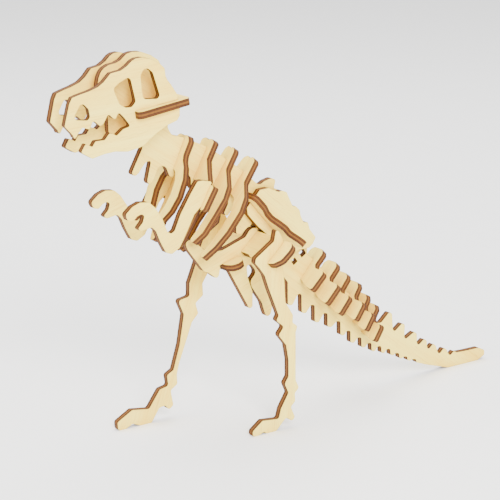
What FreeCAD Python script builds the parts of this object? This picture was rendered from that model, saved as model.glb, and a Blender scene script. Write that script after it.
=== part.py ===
import FreeCAD, Part
import math
import os
import Sketcher

# Slot-together wooden dinosaur skeleton, mm. The animal faces -X and stands on z = 0.
# Every piece is one flat board: a rounded outline padded to the board thickness, then its
# slots cut with the board thickness plus play. Pieces cross as halved joints.

V = FreeCAD.Vector
doc = FreeCAD.newDocument("wooden_dinosaur")

SIZES = [
    ("board", 2.5),        # board thickness
    ("play", 0.1),         # slot width over board thickness
    ("shoulder", 11.25),   # mid-plane of an arm from the centre plane
    ("stance", 17.05),     # mid-plane of a leg from the centre plane
    ("cheek", 6.45),       # mid-plane of a skull side at its pivot
    ("toein", 5.0),        # skull sides close towards the snout, degrees
]
PIVOT_X = -80.0            # where a skull side stands at the cheek distance
GAP = 0.1                  # each slot ends this far short of the middle of its crossing
VALUE = dict(SIZES)

sheet = doc.addObject("Spreadsheet::Sheet", "Dims")
sheet.Label = "Dims"
for row, (alias, value) in enumerate(SIZES, start=1):
    sheet.set(f"A{row}", alias)
    sheet.set(f"B{row}", str(value))
    sheet.setAlias(f"B{row}", alias)
doc.recompute()


# ---------------------------------------------------------------- outlines

def rounded(points, radius):
    """Closed loop of lines and tangent arcs through the corner points."""
    count = len(points)
    starts, ends, arcs = [], [], []
    for i in range(count):
        here = V(*points[i], 0)
        back = V(*points[i - 1], 0) - here
        ahead = V(*points[(i + 1) % count], 0) - here
        turn = math.pi - back.getAngle(ahead)
        room = 0.45 * min(back.Length, ahead.Length)
        reach = min(radius * math.tan(turn / 2), room)
        if turn < 0.03 or reach < 0.02:
            starts.append(here)
            ends.append(here)
            arcs.append(None)
            continue
        back.normalize()
        ahead.normalize()
        first = here + back * reach
        last = here + ahead * reach
        bisector = back + ahead
        bisector.normalize()
        arc_radius = reach / math.tan(turn / 2)
        depth = arc_radius / math.cos(turn / 2) - arc_radius
        starts.append(first)
        ends.append(last)
        arcs.append(Part.Arc(first, here + bisector * depth, last))
    loop = []
    for i in range(count):
        if arcs[i]:
            loop.append(arcs[i])
        loop.append(Part.LineSegment(ends[i], starts[(i + 1) % count]))
    return loop


def mirrored(half):
    """Whole outline from its +side half, listed from top centre to bottom centre."""
    other = [(-a, b) for a, b in reversed(half) if a > 0]
    return half + other


# ---------------------------------------------------------------- boards

def new_sketch(body, name):
    sketch = body.newObject("Sketcher::SketchObject", name)
    plane = [f for f in body.Origin.OriginFeatures if f.Role == "XY_Plane"][0]
    sketch.AttachmentSupport = (plane, [""])
    sketch.MapMode = "FlatFace"
    return sketch


def add_slot(body, number, slot):
    """Open slot: inner end centred on (a, b), running the way of `aim` degrees."""
    a, b, aim, length, boards = slot
    name = f"{body.Name}_slot_{number}"
    sketch = new_sketch(body, name + "_sketch")
    turn = FreeCAD.Rotation(V(0, 0, 1), aim - 90)
    sketch.AttachmentOffset = FreeCAD.Placement(V(a, b, 0), turn)
    half = (VALUE["board"] * boards + VALUE["play"]) / 2
    corners = [V(-half, 0, 0), V(half, 0, 0), V(half, length, 0), V(-half, length, 0)]
    for i in range(4):
        sketch.addGeometry(Part.LineSegment(corners[i], corners[(i + 1) % 4]), False)
    for i in range(4):
        sketch.addConstraint(Sketcher.Constraint("Coincident", i, 2, (i + 1) % 4, 1))
    sketch.addConstraint(Sketcher.Constraint("Horizontal", 2))
    sketch.addConstraint(Sketcher.Constraint("Vertical", 1))
    sketch.addConstraint(Sketcher.Constraint("Vertical", 3))
    sketch.addConstraint(Sketcher.Constraint("Symmetric", 0, 1, 0, 2, -1, 1))
    sketch.addConstraint(Sketcher.Constraint("DistanceY", 1, 1, 1, 2, length))
    width = sketch.addConstraint(Sketcher.Constraint("DistanceX", 0, 1, 0, 2, 2 * half))
    sketch.setExpression(f"Constraints[{width}]", f"{boards} * Dims.board + Dims.play")
    pocket = body.newObject("PartDesign::Pocket", name)
    pocket.Profile = sketch
    pocket.Type = "ThroughAll"
    pocket.SideType = "Symmetric"


def make_board(name, outline, placement, slots=(), holes=(), radius=2.0, hole_radius=1.2):
    body = doc.addObject("PartDesign::Body", name)
    body.Label = name
    sketch = new_sketch(body, name + "_outline")
    sketch.addGeometry(rounded(outline, radius), False)
    for hole in holes:
        sketch.addGeometry(rounded(hole, hole_radius), False)
    pad = body.newObject("PartDesign::Pad", name + "_pad")
    pad.Profile = sketch
    pad.SideType = "Symmetric"
    pad.setExpression("Length", "Dims.board")
    for number, slot in enumerate(slots, start=1):
        add_slot(body, number, slot)
    body.Placement = placement
    return body


UPRIGHT = FreeCAD.Rotation(V(1, 0, 0), 90)


def upright(side=0.0):
    """Board standing along the animal: sketch x, y are world x, z."""
    return FreeCAD.Placement(V(0, side, 0), UPRIGHT)


class Across:
    """Board standing across the animal: its sketch x is world y, its sketch y runs
    along `rise`. Given by a point on its front face and its lean to the rear."""

    def __init__(self, x, z, lean):
        angle = math.radians(lean)
        self.lean = lean
        self.rise = V(math.sin(angle), 0, math.cos(angle))
        self.facing = V(math.cos(angle), 0, -math.sin(angle))
        self.middle = V(x, 0, z) + self.facing * (VALUE["board"] / 2)

    def placement(self):
        turn = FreeCAD.Rotation(V(0, 1, 0), self.rise, self.facing, "XYZ")
        return FreeCAD.Placement(self.middle, turn)

    def slot_up(self, crossing, length, origin_x=0.0):
        """Slot in an upright board, open along the rise of this one."""
        point = self.middle + self.rise * (crossing - GAP)
        return (point.x - origin_x, point.z, 90 - self.lean, length, 1)

    def slot_down(self, crossing, length):
        """Slot in an upright board, open against the rise of this one."""
        point = self.middle + self.rise * (crossing + GAP)
        return (point.x, point.z, -90 - self.lean, length, 1)


def notch_down(side, crossing, length, boards=1):
    """Slot in an across board, open against its rise."""
    return (side, crossing + GAP, -90, length, boards)


def notch_up(side, crossing, length):
    """Slot in an across board, open along its rise."""
    return (side, crossing - GAP, 90, length, 1)


# ---------------------------------------------------------------- where the boards cross

RIBS = [Across(-47.3, 107.3, 26), Across(-38.7, 102.0, 30),
        Across(-29.8, 98.0, 35), Across(-22.6, 92.7, 40)]
RIB_CROSSING = [-4.8, -4.5, -4.5, -3.9]
SLABS = [Across(3.2, 49.3, 43), Across(9.7, 42.6, 41), Across(15.8, 37.4, 37),
         Across(23.0, 33.4, 31), Across(27.8, 28.2, 29), Across(32.2, 23.3, 28)]
SLAB_CROSSING = [4.4, 4.5, 3.8, 3.5, 3.2, 3.1]
ROOF = Across(-20.4, 81.5, -40)
CROSS = Across(-16.7, 70.2, 47.6)
PUBIS = Across(-31.6, 60.6, 74)
BAR = Across(-61.2, 122.75, 81.5)
ROOF_SPINE = -0.9
ROOF_HIP = -9.0
CROSS_BELLY = -4.5
CROSS_LEG = -5.0
PUBIS_BELLY = 3.6
BAR_SKULL = -1.3
ARM_RIB = -14.2

# ---------------------------------------------------------------- centre plane

spine_outline = [
    (-81, 130), (-80.5, 132.4), (-79.6, 134.3), (-78.4, 135.5), (-76.5, 136.4),
    (-73.8, 136.8), (-71.9, 137.6), (-69.6, 139.5), (-67.4, 140), (-64, 139.8),
    (-60.1, 138.3), (-56.9, 136.2), (-55.5, 133), (-53.5, 129.1), (-51.6, 126.8),
    (-51.6, 123.5), (-52.5, 120), (-53.8, 112.6), (-52.2, 110), (-46.5, 108.3),
    (-42.8, 106.4), (-37.4, 104), (-33.6, 101.4), (-30.3, 99.2), (-26, 96.1),
    (-23, 93.9), (-18.2, 89.6), (-15.4, 87.2), (-13, 88.5), (-9.9, 89.2),
    (-8.1, 88.4), (-8.8, 85.5), (-10, 82), (-13, 79.5), (-16.7, 77.6), (-18.1, 75.5),
    (-18.8, 73.2), (-20.6, 72.5), (-23.4, 70.4), (-25.6, 70.6), (-25.5, 73.4),
    (-24, 77), (-25, 80.6), (-27.2, 80.2), (-29.4, 77.8),
    (-30.9, 79), (-28.8, 82.5), (-29.6, 86.2), (-33.2, 87.4), (-35.8, 85),
    (-37, 86.2), (-35.8, 90.2), (-38.6, 92.2), (-41.4, 91.2), (-42.9, 89),
    (-44.6, 90), (-44.6, 93.8), (-47, 97.2), (-50.4, 98.2), (-51.6, 95.2),
    (-53.2, 95.2), (-54.9, 99.4), (-57.6, 99.6), (-59.7, 95.3), (-61.1, 93.4),
    (-62.5, 94.6), (-60.6, 102.2), (-63, 101.6), (-65.8, 98.2), (-67.3, 97.3),
    (-68.6, 98.4), (-63.7, 107.4), (-66, 110.5), (-76.4, 112), (-77.2, 114),
    (-77.4, 120), (-79.5, 124), (-81, 128),
]
spine_slots = [RIBS[i].slot_up(RIB_CROSSING[i], 16) for i in range(4)]
spine_slots.append(ROOF.slot_down(ROOF_SPINE, 8))
spine_slots.append(BAR.slot_up(BAR_SKULL, 16))
make_board("spine_plate", spine_outline, upright(), spine_slots)

belly_outline = [
    (-47.5, 71), (-46.3, 68.1), (-39.7, 59.3), (-37.6, 58.3), (-34.4, 55.8),
    (-33.3, 56.3), (-32.4, 60), (-31.6, 60.8), (-30.6, 58.1), (-29, 58),
    (-20.8, 43.4), (-20.2, 42), (-18.6, 42.2), (-18.5, 47.9), (-20.7, 54),
    (-21.1, 58.2), (-19.3, 58.7), (-16.7, 55.2), (-19.6, 52.3), (-18.9, 49.9),
    (-14.5, 43.4), (-13.2, 39.3), (-12.3, 37.4), (-10.4, 38.1), (-9.6, 42),
    (-12, 48), (-13, 54), (-10.5, 60), (-7.5, 64), (-7.5, 69.3), (-9.5, 70.4),
    (-15.7, 71.7), (-18.4, 71.9), (-19.8, 71.2), (-21.5, 69), (-27.2, 67.1),
    (-31.5, 65.7), (-34.9, 65.6), (-40, 67.5), (-44.5, 71.8),
]
belly_slots = [CROSS.slot_up(CROSS_BELLY, 12), PUBIS.slot_down(PUBIS_BELLY, 5)]
make_board("belly_plate", belly_outline, upright(), belly_slots)

# Spikes under the tail: front root, tip, each tip blunt and leaning a little forward.
under_roots = [(-2.7, 49.1), (3.7, 43.4), (9.8, 38.1), (15.9, 33.8), (22.1, 29.5),
               (27, 24.8), (32.4, 21.1), (37.4, 17.9), (42.3, 15.7), (46.9, 13.7),
               (51.4, 11.1), (55.6, 8.9), (60.2, 6.9)]
under_tips = [40.2, 36, 31.3, 28.3, 23.9, 20, 17.1, 14.6, 12.9, 11.2, 9, 7.3, 5.5]
TIP_WIDTH = 2.1
under_tail = []
for i, ((root_x, root_z), tip_z) in enumerate(zip(under_roots, under_tips)):
    tip_width = TIP_WIDTH - 0.07 * i
    under_tail.append((root_x, root_z))
    under_tail.append((root_x + 0.1, tip_z))
    under_tail.append((root_x + tip_width, tip_z - 0.4))
    if i + 1 < len(under_roots):
        next_x, next_z = under_roots[i + 1]
        under_tail.append((next_x - 1.7, next_z + 0.3))

# Spikes over the tail, from the last slab to the tip.
over_bases = [(42.1, 25.2), (48.2, 19.8), (53.8, 15.7), (60.5, 11.8), (66, 9.1),
              (72, 6.2), (77.9, 4.6)]
over_tips = [(46.2, 28.8), (52.8, 23.1), (59, 18.4), (64.2, 14.5), (68.9, 11.6),
             (74.7, 8.8), (80.1, 6.5)]
over_tail = []
for (base_x, base_z), (tip_x, tip_z) in zip(over_bases, over_tips):
    over_tail.append((base_x, base_z))
    over_tail.append((tip_x, tip_z))
    over_tail.append((tip_x + 1.3, tip_z - 1))

tail_front = [(-12.4, 77), (-6, 77.5), (-1.5, 75), (1, 71), (4, 68), (6.3, 64.5), (6.2, 58.6),
              (9.2, 55.7), (15.3, 49.3), (20.4, 43.5), (26.6, 39.4), (31, 33.9),
              (35.2, 28.9), (38.5, 25.6)]
tail_tip = [(86, 5.3), (93.5, 5.2), (96.6, 3.6), (96.6, 1.6), (93, 0), (77, 0),
            (72, 1.6), (65.5, 3.6)]
tail_root = [(-6.6, 54), (-7, 60), (-7, 70), (-11.2, 74.4)]
tail_outline = tail_front + over_tail + tail_tip + under_tail[::-1] + tail_root
tail_holes = [[(2.3, 59.4), (4.4, 60.8), (5.8, 58.7), (3.7, 57.3)],
              [(-1.2, 56.8), (0.6, 58), (1.8, 56.2), (0, 55)]]
tail_slots = [SLABS[i].slot_up(SLAB_CROSSING[i], 14) for i in range(6)]
make_board("tail_plate", tail_outline, upright(), tail_slots, tail_holes, radius=1.0,
           hole_radius=0.2)

# ---------------------------------------------------------------- hips

hip_outline = [
    (-20.9, 82.3), (-18.7, 84.2), (-16.9, 86.2), (-13, 86.4), (-8.5, 84.3),
    (-7.2, 84.7), (-5, 83.8), (-4.1, 81.8), (-2.3, 78.2), (-0.9, 78), (0.9, 76.2),
    (1.4, 73.9), (2.7, 71.4), (4.6, 71.2), (5.5, 68.4), (6.9, 66.6), (8.3, 64.9),
    (6.9, 62.6), (5.2, 61.4), (1, 61.4), (-3, 60.2), (-8, 61.5), (-11, 65.4), (-13.6, 69.2),
    (-15.7, 71.1), (-17.4, 72.5), (-20.1, 75.5), (-22.2, 78), (-22.6, 80.3),
]
roof_slot = list(ROOF.slot_up(ROOF_HIP, 16))
for name, side in (("hip_side_plate_L", -1), ("hip_side_plate_R", 1)):
    body = make_board(name, hip_outline, upright(), [roof_slot], radius=0.8)
    body.setExpression(".Placement.Base.y", f"{side} * (Dims.board + 0.02)")

roof_half = [
    (0, 3.2), (6.4, 3.2), (7.8, 2), (8.2, -2.5), (6.7, -5.8), (6.9, -8.4), (10, -10.6),
    (11.9, -12.4), (11.7, -15.2), (15.6, -17.6), (16.9, -19), (16.6, -20.4), (13, -20.8),
    (9, -19.6), (5, -20.2), (0, -20.2),
]
roof_slots = [notch_up(0, ROOF_SPINE, 6), notch_down(0, ROOF_HIP, 14, boards=3)]
make_board("hip_roof_plate", mirrored(roof_half), ROOF.placement(), roof_slots, radius=1.2)

cross_half = [
    (0, 0.5), (14, 0.5), (22.2, 0.4), (23.7, -1), (24.03, -3), (23.6, -7), (21.3, -9.4),
    (19, -10.1), (8, -10.1), (6, -9.3), (0, -9.3),
]
cross_slots = [notch_down(0, CROSS_BELLY, 8)]
for side in (-1, 1):
    cross_slots.append(notch_down(side * VALUE["stance"], CROSS_LEG, 8))
make_board("hip_cross_plate", mirrored(cross_half), CROSS.placement(), cross_slots)

pubis_half = [(0, 7.2), (3, 7.2), (5.8, 6), (6.8, 3.6), (5.8, 1.2), (3, 0), (0, 0)]
make_board("pubis_cross_plate", mirrored(pubis_half)[::-1], PUBIS.placement(),
           [notch_up(0, PUBIS_BELLY, 6)])

# ---------------------------------------------------------------- skull

skull_outline = [
    (-96.6, 118.6), (-95.5, 122.8), (-94.7, 125.9), (-93.7, 127.8), (-90.6, 128.7),
    (-87.7, 129.4), (-84.4, 130.5), (-82.2, 132), (-79.6, 134.7), (-75.9, 135.3),
    (-73.6, 136.6), (-71.8, 138.2), (-70.3, 138.9), (-68, 139.1), (-64.7, 138.3),
    (-61.8, 136.9), (-59.6, 134.8), (-59.2, 131.4), (-56.6, 128), (-54.9, 125.4),
    (-54.1, 120.6), (-54.2, 118.2), (-55.1, 116.7), (-58.6, 115.5), (-63.5, 112.8),
    (-67.9, 109.3), (-70, 108.7), (-74, 107.9), (-78.6, 108.4), (-82.4, 108),
    (-87, 106.9), (-91, 109.3), (-89.3, 112.1), (-87.7, 111.3), (-86.9, 110.8),
    (-85.7, 112.6), (-82.3, 112.7), (-80.5, 114.8), (-78.8, 114.3),
    (-78, 113.6), (-75.4, 115.7), (-72.7, 116.4), (-74.9, 119.4), (-77, 121.6),
    (-78.3, 119), (-80.8, 121.3), (-82.6, 118.2), (-83.8, 117.5), (-86.3, 119.7),
    (-87.6, 116.7), (-90.2, 117.7), (-91.7, 116), (-93.1, 113.8), (-93.8, 115.5),
]
nostril = [(-93.8, 120.5), (-88.2, 119.8), (-87.4, 121), (-87.9, 123.6), (-90.3, 126.1)]
cheek_hole = [(-72.6, 133.2), (-71.3, 127.7), (-70.6, 124.5), (-72.1, 122.8), (-74.4, 122.8),
              (-76.5, 124.1), (-78.3, 128.3), (-78.6, 129.6), (-76.7, 131.2)]
eye_hole = [(-65.9, 135.3), (-64.1, 133.8), (-62.7, 129.3), (-61.6, 125.8), (-62.4, 124.7),
            (-67.6, 125), (-68.3, 128.1), (-68.6, 133.2), (-67.4, 135.1)]


def from_pivot(points):
    return [(x - PIVOT_X, z) for x, z in points]


bar_slot = BAR.slot_up(BAR_SKULL, 16, PIVOT_X)
for name, side in (("skull_side_L", -1), ("skull_side_R", 1)):
    turn = FreeCAD.Rotation(V(0, 0, 1), side * VALUE["toein"]).multiply(UPRIGHT)
    stand = FreeCAD.Placement(V(PIVOT_X, side * VALUE["cheek"], 0), turn)
    skull_holes = [from_pivot(hole) for hole in (nostril, cheek_hole, eye_hole)]
    body = make_board(name, from_pivot(skull_outline), stand, [bar_slot], skull_holes,
                      radius=0.6)
    body.setExpression(".Placement.Base.y", f"{side} * Dims.cheek")

bar_half = [(0, 10.6), (10.6, 10.4), (11.6, 9.4), (11.6, -8.9), (10.6, -10.1), (0, -10.1)]
bar_slots = [notch_down(0, BAR_SKULL, 12)]
bar_end = BAR.middle + BAR.rise * (BAR_SKULL + GAP)
toein = math.radians(VALUE["toein"])
notch_side = VALUE["cheek"] + (bar_end.x - PIVOT_X) * math.tan(toein)
for side in (-1, 1):
    aim = -90 - side * VALUE["toein"]
    bar_slots.append((side * notch_side, BAR_SKULL + GAP, aim, 12, 1))
make_board("skull_crossbar", mirrored(bar_half), BAR.placement(), bar_slots, radius=1.0)

# ---------------------------------------------------------------- ribs

rib_halves = [
    [(0, 1.9), (2.4, 2.4), (4.2, 0.5), (4.1, -4.7), (5, -6.7), (7, -8.9), (9, -12.8),
     (9.7, -19), (8.3, -24.5), (5.2, -29), (3, -30.2), (2.2, -28.6), (4.2, -24),
     (5.3, -19), (4.8, -14), (3, -10.9), (0, -10)],
    [(0, 4.9), (1.8, 5.5), (3.7, 4.7), (3.9, -1.8), (7.1, -5.8), (9.6, -8.6),
     (9.9, -10.2), (14.5, -10.2), (14.3, -19.5), (9.8, -19.5), (9.7, -25), (9.2, -31),
     (7.6, -35.4), (5.5, -34.5), (6, -29), (6.2, -22), (5.8, -15), (4, -10.7), (0, -9.4)],
    [(0, 5.1), (1.5, 5.8), (2.9, 4.4), (3.7, -2.8), (9.2, -8.6), (10.6, -13.1),
     (10.2, -19.3), (9.3, -27.1), (6.4, -31.8), (4.5, -30.8), (5.8, -26), (6.5, -19),
     (6, -13.5), (3.5, -10.2), (0, -9.4)],
    [(0, 6.2), (1.6, 7.1), (3.5, 5.7), (4.9, -3.1), (10, -8.5), (12, -14), (12, -22.5),
     (10.5, -29), (7.7, -34.6), (5.8, -33.5), (7.2, -28), (8, -22), (7.6, -14.5),
     (5, -9.8), (0, -8)],
]
for i, (rib, half) in enumerate(zip(RIBS, rib_halves)):
    rib_slots = [notch_down(0, RIB_CROSSING[i], 9)]
    if i == 1:
        for side in (-1, 1):
            rib_slots.append(notch_down(side * VALUE["shoulder"], ARM_RIB, 7))
    make_board(f"rib_{i + 1}", mirrored(half), rib.placement(), rib_slots,
               radius=1.0 if i == 1 else 2.0)

# ---------------------------------------------------------------- arms

arm_outline = [
    (-47, 95.2), (-49.2, 95.2), (-52.1, 91.2), (-56.3, 84.7), (-58.8, 79.2),
    (-60.3, 78.3), (-61.8, 79.4), (-63.6, 84.1), (-66.4, 88.4), (-68.9, 90.6),
    (-72.4, 91), (-75.4, 89.9), (-78.2, 87.5), (-77.2, 85.3), (-75.2, 84.9), (-73.6, 86.4),
    (-71.9, 87), (-70.7, 86.2), (-71.4, 84), (-73.4, 82), (-72.2, 81),
    (-67.9, 81.8), (-66.3, 80.2), (-64.7, 76.3), (-62.4, 72), (-60, 71.2),
    (-56.9, 72.9), (-55.2, 75.7), (-53.6, 78.5), (-50.7, 83.8), (-48.2, 86),
    (-45.6, 85.4), (-42.6, 88), (-41.6, 90.2), (-42.4, 91.4), (-43.6, 94.4),
]
arm_slot = RIBS[1].slot_up(ARM_RIB, 9)
for name, side in (("arm_L", -1), ("arm_R", 1)):
    body = make_board(name, arm_outline, upright(), [arm_slot], radius=1.2)
    body.setExpression(".Placement.Base.y", f"{side} * Dims.shoulder")

# ---------------------------------------------------------------- legs

near_leg_outline = [
    (-20.3, 74.9), (-21.2, 70.9), (-29, 65.9), (-29.4, 64.2), (-27.7, 62.4),
    (-25.3, 59.1), (-23.4, 53.7), (-20.8, 47.3), (-19.2, 43.3), (-20.4, 41.6),
    (-16.9, 38.8), (-19.3, 36), (-16, 31.8), (-14.9, 25.8), (-14.9, 19.6),
    (-16.6, 17.2), (-14.9, 13.4), (-18.3, 8), (-19.3, 4.4), (-26.5, 5.2),
    (-30.8, 2.1), (-30.8, 0), (-28, 0), (-26, 0.9), (-24.6, 0), (-20.4, 0),
    (-17, 3.3), (-15.8, 4.1), (-13.3, 2.3), (-12, 3.5), (-13.9, 7.8), (-11.9, 9.6),
    (-12.1, 12.7), (-10.2, 14.4), (-11.7, 17.6), (-11.7, 35.8), (-10.9, 37.9),
    (-13.1, 39.6), (-12.9, 42.4), (-16.3, 47.8), (-16.7, 55.1), (-17.3, 60.6),
    (-17.3, 71.2), (-19.2, 74.4),
]
far_leg_outline = [
    (-20.3, 74.9), (-21.2, 70.9), (-28, 66.5), (-30.5, 61), (-31.8, 56.9), (-34.7, 50),
    (-34.8, 45.1), (-39.7, 44.3), (-37.3, 38.7), (-39.3, 27.5), (-42.2, 18.3),
    (-45.1, 16.8), (-44.5, 12.7), (-48.2, 12), (-53, 5.5), (-60.2, 6.6), (-66.5, 3.2),
    (-66.2, 0), (-63, 0), (-60, 1.4), (-57, 0), (-52, 0), (-48.6, 5), (-46, 5.4),
    (-44.4, 3.3), (-42.5, 4.8), (-43.6, 10.7), (-40.6, 12.6), (-40.8, 16.2),
    (-39.8, 20.1), (-33.8, 35.2), (-31, 38), (-32.2, 42.1), (-28.8, 44.6), (-29, 49),
    (-26.5, 52.8), (-20, 60), (-17.3, 66), (-17.3, 71.2), (-19.2, 74.4),
]
leg_slot = CROSS.slot_up(CROSS_LEG, 12)
for name, side, outline in (("leg_L", -1, near_leg_outline), ("leg_R", 1, far_leg_outline)):
    body = make_board(name, outline, upright(), [leg_slot], radius=1.0)
    body.setExpression(".Placement.Base.y", f"{side} * Dims.stance")

# ---------------------------------------------------------------- tail slabs

# Height of the top, of the shoulder and of the outer bottom above the tail's lower
# contact, and the half-width of the lower lobe.
slab_sizes = [
    (13.7, 5.8, -2.5, 10.5), (14.2, 6.4, -2.1, 10.4), (13.6, 5.9, -2.0, 10.3),
    (12.2, 5.7, -1.7, 10.2), (11.7, 5.8, -1.4, 10.1), (11.8, 5.3, -1.6, 10.0),
]
for i, (slab, size) in enumerate(zip(SLABS, slab_sizes)):
    top, shoulder, bottom, wide = size
    half = [(0, top), (2.4, top), (3.8, top - 1.6), (3.7, shoulder + 1.4),
            (5, shoulder), (wide - 1, shoulder), (wide, shoulder - 1),
            (wide - 0.4, bottom + 0.6), (wide - 1.2, bottom), (6, bottom + 0.6), (0, 0.4)]
    make_board(f"tail_slab_{i + 1}", mirrored(half), slab.placement(),
               [notch_down(0, SLAB_CROSSING[i], 8)], radius=1.2)

# ---------------------------------------------------------------- check and write

doc.recompute()
bodies = [o for o in doc.Objects if o.TypeId == "PartDesign::Body"]
for item in doc.Objects:
    bad = [s for s in item.State if s in ("Invalid", "Error")]
    if bad:
        raise RuntimeError(f"{item.Name}: {item.State}")
for body in bodies:
    shape = body.Shape
    if shape.isNull() or not shape.isValid() or len(shape.Solids) != 1:
        raise RuntimeError(f"{body.Name}: no single valid solid")

os.makedirs("parts", exist_ok=True)
for body in bodies:
    body.Shape.exportStep(f"parts/{body.Label}.step")
    box = body.Shape.BoundBox
    print(f"{body.Label:18s} x {box.XMin:7.2f} {box.XMax:7.2f}  y {box.YMin:7.2f} {box.YMax:7.2f}"
          f"  z {box.ZMin:7.2f} {box.ZMax:7.2f}  volume {body.Shape.Volume:8.1f}")
whole = FreeCAD.BoundBox()
for body in bodies:
    whole.add(body.Shape.BoundBox)
print("pieces", len(bodies), "size", whole.XLength, whole.YLength, whole.ZLength)
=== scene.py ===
import math

import bpy
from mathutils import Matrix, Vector

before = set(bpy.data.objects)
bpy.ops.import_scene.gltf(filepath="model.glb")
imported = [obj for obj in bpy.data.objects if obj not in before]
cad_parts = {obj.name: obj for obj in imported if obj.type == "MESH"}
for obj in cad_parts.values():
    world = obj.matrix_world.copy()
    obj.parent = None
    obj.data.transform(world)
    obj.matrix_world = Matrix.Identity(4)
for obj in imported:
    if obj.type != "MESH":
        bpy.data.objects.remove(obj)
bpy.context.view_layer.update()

# Metres, same frame as the CAD: the animal faces -X, -Y is its left side, +Z is up.
BOARD = 0.0025

# Linear-light colours of bare basswood and of its scorched cut edges.
PALE = (0.97, 0.77, 0.15)
WARM = (0.91, 0.62, 0.08)
# Darker wood streak of the grain; also the colour of the painted shade where boards meet.
STREAK_AND_SHADE = (0.58, 0.30, 0.035)
BURNT = (0.048, 0.012, 0.001)
TOASTED = (0.125, 0.036, 0.003)
CORE = (0.22, 0.080, 0.006)
SOOT = (0.016, 0.005, 0.001)

# Pattern frequencies of the wood, per metre along and across the grain.
GROWTH = (9.0, 95.0)
GROWTH_THROUGH = 20.0
FIBRES = (70.0, 1900.0)
PORES = (260.0, 3600.0)
PATCHES = 38.0
# The same on a cut edge: along the outline, and through the board.
BURN_LINES = (900.0, 60.0)
PLY_FIBRES = (60.0, 5200.0)

# Layers of a cut edge, in metres from the board's mid-plane: where each blend begins and ends.
CORE_LAYER = (0.00026, 0.00042)
RIM_LAYER = (0.00098, 0.00122)
GLUE_LINE = BOARD / 5
GLUE_WIDTH = (0.00006, 0.00020)

SCORCH_REACH = 0.0006    # scorch on the face beside a cut
PAINTED_SHADE_REACH = 0.009       # shade on a face beside another board


# ---------------------------------------------------------------- board material

class Graph:
    """Small helper that adds shader nodes and links them by value or socket."""

    def __init__(self, material):
        self.tree = material.node_tree
        self.tree.nodes.clear()

    def add(self, kind, **inputs):
        node = self.tree.nodes.new(kind)
        for key, value in inputs.items():
            self.put(node, key.replace("_", " "), value)
        return node

    def put(self, node, key, value):
        socket = node.inputs[int(key)] if key.isdigit() else node.inputs[key]
        if isinstance(value, bpy.types.NodeSocket):
            self.tree.links.new(value, socket)
        else:
            socket.default_value = value

    def math(self, operation, first, second=0.0):
        node = self.tree.nodes.new("ShaderNodeMath")
        node.operation = operation
        self.put(node, "0", first)
        self.put(node, "1", second)
        return node.outputs[0]

    def times(self, first, second):
        return self.math("MULTIPLY", first, second)

    def invert(self, value):
        return self.math("SUBTRACT", 1.0, value)

    def either(self, choice, first, second):
        """first where choice is 1, second where it is 0."""
        return self.math("ADD", self.times(choice, first), self.times(self.invert(choice), second))

    def dot(self, vector, direction):
        node = self.tree.nodes.new("ShaderNodeVectorMath")
        node.operation = "DOT_PRODUCT"
        self.put(node, "0", vector)
        node.inputs[1].default_value = direction
        return node.outputs["Value"]

    def vector(self, x, y, z):
        node = self.tree.nodes.new("ShaderNodeCombineXYZ")
        for key, value in zip("012", (x, y, z)):
            self.put(node, key, value)
        return node.outputs[0]

    def noise(self, vector, scale, detail=3.0, rough=0.55, distortion=0.0):
        node = self.tree.nodes.new("ShaderNodeTexNoise")
        self.put(node, "Vector", vector)
        node.inputs["Scale"].default_value = scale
        node.inputs["Detail"].default_value = detail
        node.inputs["Roughness"].default_value = rough
        node.inputs["Distortion"].default_value = distortion
        return node.outputs["Fac"]

    def ramp(self, value, low, high):
        """0 below low, 1 above high, smooth between."""
        node = self.tree.nodes.new("ShaderNodeMapRange")
        node.interpolation_type = "SMOOTHSTEP"
        self.put(node, "Value", value)
        node.inputs["From Min"].default_value = low
        node.inputs["From Max"].default_value = high
        return node.outputs["Result"]

    def mix(self, factor, first, second):
        node = self.tree.nodes.new("ShaderNodeMix")
        node.data_type = "RGBA"
        colours = [s for s in node.inputs if s.type == "RGBA"]
        self.put(node, "0", factor)
        for socket, value in zip(colours, (first, second)):
            if isinstance(value, tuple):
                socket.default_value = (*value, 1.0)
            else:
                self.tree.links.new(value, socket)
        return [s for s in node.outputs if s.type == "RGBA"][0]


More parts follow.
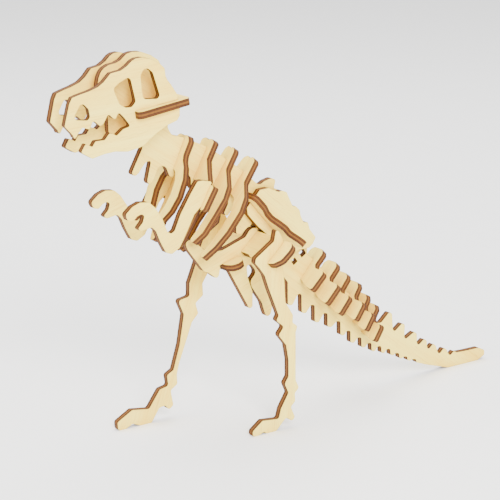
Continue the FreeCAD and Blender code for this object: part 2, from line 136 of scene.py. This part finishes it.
def board_material(name, normal, grain, middle, seed):
    """Three-ply basswood board. `normal` is square to the board, `grain` runs along its
    face veneer and `middle` is the board's mid-plane distance along `normal`."""
    material = bpy.data.materials.new(name)
    material.use_nodes = True
    g = Graph(material)
    side = normal.cross(grain)
    spot = g.add("ShaderNodeTexCoord")
    place = spot.outputs["Object"]
    facing = g.math("ABSOLUTE", g.dot(spot.outputs["Normal"], normal))
    is_face = g.ramp(facing, 0.55, 0.8)
    along = g.dot(place, grain)
    over = g.dot(place, side)
    through = g.dot(place, normal)
    depth = g.math("ABSOLUTE", g.math("SUBTRACT", through, middle))

    # Face veneer: long soft growth bands, fine fibres and short pores along the grain.
    offset = 0.37 * seed
    bands = g.vector(g.times(along, GROWTH[0]), g.times(over, GROWTH[1]),
                     g.math("ADD", g.times(through, GROWTH_THROUGH), offset))
    growth = g.noise(bands, 1.0, 4.0, 0.6, 0.9)
    threads = g.vector(g.times(along, FIBRES[0]), g.times(over, FIBRES[1]), offset)
    fibres = g.noise(threads, 1.0, 3.0, 0.65, 0.2)
    dashes = g.vector(g.times(along, PORES[0]), g.times(over, PORES[1]), offset + 5.1)
    pores = g.noise(dashes, 1.0, 2.0, 0.5)
    patches = g.noise(place, PATCHES + 2.0 * (seed % 5), 2.0, 0.5)
    face = g.mix(g.ramp(growth, 0.35, 0.72), PALE, WARM)
    face = g.mix(g.times(g.ramp(fibres, 0.48, 0.75), 0.34), face, STREAK_AND_SHADE)
    face = g.mix(g.times(g.ramp(pores, 0.63, 0.74), 0.45), face, STREAK_AND_SHADE)
    face = g.mix(g.times(g.ramp(patches, 0.40, 0.75), 0.30), face, WARM)

    # Cut edge: scorched plies with a lighter core, dark glue lines and darker rims, and
    # thin burn lines across the thickness where the beam dwelt.
    burns = g.vector(g.times(along, BURN_LINES[0]), g.times(over, BURN_LINES[0]),
                     g.times(through, BURN_LINES[1]))
    char = g.noise(burns, 1.0, 2.0, 0.5)
    layers = g.vector(g.times(along, PLY_FIBRES[0]), g.times(over, PLY_FIBRES[0]),
                      g.times(through, PLY_FIBRES[1]))
    ply_fibres = g.noise(layers, 1.0, 2.0, 0.6)
    edge = g.mix(g.ramp(ply_fibres, 0.38, 0.66), BURNT, TOASTED)
    core = g.invert(g.ramp(depth, *CORE_LAYER))
    edge = g.mix(g.times(core, 0.70), edge, CORE)
    from_glue = g.math("ABSOLUTE", g.math("SUBTRACT", depth, GLUE_LINE))
    glue = g.invert(g.ramp(from_glue, *GLUE_WIDTH))
    edge = g.mix(g.times(glue, 0.60), edge, SOOT)
    rim = g.ramp(depth, *RIM_LAYER)
    edge = g.mix(g.times(rim, 0.55), edge, SOOT)
    edge = g.mix(g.times(g.ramp(char, 0.52, 0.78), 0.30), edge, SOOT)

    # Scorch that the cut leaves on the face beside it.
    near_edge = g.add("ShaderNodeAmbientOcclusion", Distance=SCORCH_REACH)
    near_edge.inside = True
    near_edge.only_local = True
    near_edge.samples = 8
    scorch = g.invert(g.ramp(near_edge.outputs["AO"], 0.45, 0.75))
    face = g.mix(g.times(scorch, 0.35), face, TOASTED)

    # Painted shade: faces darken towards the streak colour where boards meet, from ambient
    # occlusion.
    painted_seam_shade = g.add("ShaderNodeAmbientOcclusion", Distance=PAINTED_SHADE_REACH)
    painted_seam_shade.samples = 8
    shade = g.invert(g.ramp(painted_seam_shade.outputs["AO"], 0.10, 0.75))
    face = g.mix(g.times(shade, 0.72), face, STREAK_AND_SHADE)

    # The faces are smoother than the cut edges; both show their fibres a little.
    colour = g.mix(is_face, edge, face)
    shader = g.add("ShaderNodeBsdfPrincipled", Base_Color=colour)
    rough_face = g.math("ADD", g.times(fibres, 0.22), 0.50)
    rough_edge = g.math("ADD", g.times(ply_fibres, 0.20), 0.68)
    g.put(shader, "Roughness", g.either(is_face, rough_face, rough_edge))
    shader.inputs["Specular IOR Level"].default_value = 0.30
    relief = g.math("ADD", g.times(fibres, 0.7), g.times(pores, -0.5))
    height = g.either(is_face, relief, ply_fibres)
    bump = g.add("ShaderNodeBump", Strength=0.35, Distance=0.00012, Height=height)
    g.put(shader, "Normal", bump.outputs[0])
    output = g.add("ShaderNodeOutputMaterial")
    g.put(output, "Surface", shader.outputs[0])
    return material


def lean(degrees):
    """Directions of a board across the animal: up along it, and square to it."""
    angle = math.radians(degrees)
    up = Vector((math.sin(angle), 0, math.cos(angle)))
    return up, Vector((math.cos(angle), 0, -math.sin(angle)))


# Lean to the rear of each board that stands across the animal, degrees.
ACROSS = {
    "rib_1": 26, "rib_2": 30, "rib_3": 35, "rib_4": 40,
    "tail_slab_1": 43, "tail_slab_2": 41, "tail_slab_3": 37, "tail_slab_4": 31,
    "tail_slab_5": 29, "tail_slab_6": 28, "hip_roof_plate": -40, "hip_cross_plate": 47.6,
    "pubis_cross_plate": 74, "skull_crossbar": 81.5,
}
# Turn of the skull sides towards each other at the snout, degrees.
TOE_IN = {"skull_side_L": -5, "skull_side_R": 5}
# Wide boards whose veneer runs from side to side.
CROSSWISE = ("hip_cross_plate", "skull_crossbar")
# Veneer direction of each upright board, degrees up from the X axis.
GRAIN = {
    "spine_plate": -34, "tail_plate": -38, "belly_plate": 20, "hip_side_plate_L": -40,
    "hip_side_plate_R": -36, "skull_side_L": 6, "skull_side_R": 4, "arm_L": 24,
    "arm_R": 18, "leg_L": 84, "leg_R": 70,
}

for seed, (name, node) in enumerate(sorted(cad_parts.items())):
    if name in ACROSS:
        grain, normal = lean(ACROSS[name])
        if name in CROSSWISE:
            grain = Vector((0, 1, 0))
    else:
        turn = math.radians(TOE_IN.get(name, 0))
        flat = Vector((math.cos(turn), math.sin(turn), 0))
        normal = Vector((-math.sin(turn), math.cos(turn), 0))
        angle = math.radians(GRAIN[name])
        grain = flat * math.cos(angle) + Vector((0, 0, math.sin(angle)))
    spread = [v.co.dot(normal) for v in node.data.vertices]
    middle = (min(spread) + max(spread)) / 2
    material = board_material("board_" + name, normal, grain, middle, seed)
    node.data.materials.clear()
    node.data.materials.append(material)

# ---------------------------------------------------------------- floor, light, camera

floor_mesh = bpy.data.meshes.new("floor")
REACH = 3.0    # half the floor's width
floor_mesh.from_pydata([(-REACH, -REACH, 0), (REACH, -REACH, 0), (REACH, REACH, 0),
                        (-REACH, REACH, 0)], [], [(0, 1, 2, 3)])
floor = bpy.data.objects.new("floor", floor_mesh)
bpy.context.scene.collection.objects.link(floor)
paper = bpy.data.materials.new("paper")
paper.use_nodes = True
paper_graph = Graph(paper)
paper_spot = paper_graph.add("ShaderNodeTexCoord")
paper_grain = paper_graph.noise(paper_spot.outputs["Object"], 60.0, 3.0, 0.5)
paper_colour = paper_graph.mix(paper_grain, (0.95, 0.95, 0.95), (0.98, 0.98, 0.975))
paper_shader = paper_graph.add("ShaderNodeBsdfPrincipled", Base_Color=paper_colour,
                               Roughness=0.9)
paper_output = paper_graph.add("ShaderNodeOutputMaterial")
paper_graph.put(paper_output, "Surface", paper_shader.outputs[0])
floor_mesh.materials.append(paper)


def area_light(name, place, target, size, power, colour=(1, 1, 1)):
    lamp = bpy.data.lights.new(name, "AREA")
    lamp.shape = "DISK"
    lamp.size = size
    lamp.energy = power
    lamp.color = colour
    holder = bpy.data.objects.new(name, lamp)
    holder.location = place
    holder.rotation_euler = (Vector(target) - Vector(place)).to_track_quat("-Z", "Y").to_euler()
    bpy.context.scene.collection.objects.link(holder)


MIDDLE = (0, 0, 0.07)
area_light("key", (-0.30, -0.80, 0.60), MIDDLE, 0.50, 20.0, (1.0, 0.985, 0.95))
area_light("fill", (-0.9, 0.15, 0.45), MIDDLE, 0.8, 4.0)
area_light("over", (0.15, 0.35, 0.95), MIDDLE, 0.9, 12.0)

world = bpy.data.worlds.new("studio")
world.use_nodes = True
world.node_tree.nodes["Background"].inputs[0].default_value = (1, 1, 1, 1)
world.node_tree.nodes["Background"].inputs[1].default_value = 1.55
bpy.context.scene.world = world

# The camera stands in front and to the left of the animal, a little above it.
TURN = math.radians(36.52)
DROP = math.radians(14.0)
DISTANCE = 0.65
FOCAL_PX = 1772.9
CENTRE_PX = (291.55, 225.1)
FRAME_PX = 500.0
look = Vector((math.sin(TURN) * math.cos(DROP), math.cos(TURN) * math.cos(DROP), -math.sin(DROP)))
camera_data = bpy.data.cameras.new("camera")
camera_data.sensor_fit = "HORIZONTAL"
camera_data.sensor_width = 36.0
camera_data.lens = FOCAL_PX / FRAME_PX * 36.0
camera_data.shift_x = (FRAME_PX / 2 - CENTRE_PX[0]) / FRAME_PX
camera_data.shift_y = (CENTRE_PX[1] - FRAME_PX / 2) / FRAME_PX
camera_data.clip_start = 0.01
camera = bpy.data.objects.new("camera", camera_data)
camera.location = Vector(MIDDLE) - look * DISTANCE
camera.rotation_euler = look.to_track_quat("-Z", "Y").to_euler()
bpy.context.scene.collection.objects.link(camera)
bpy.context.scene.camera = camera
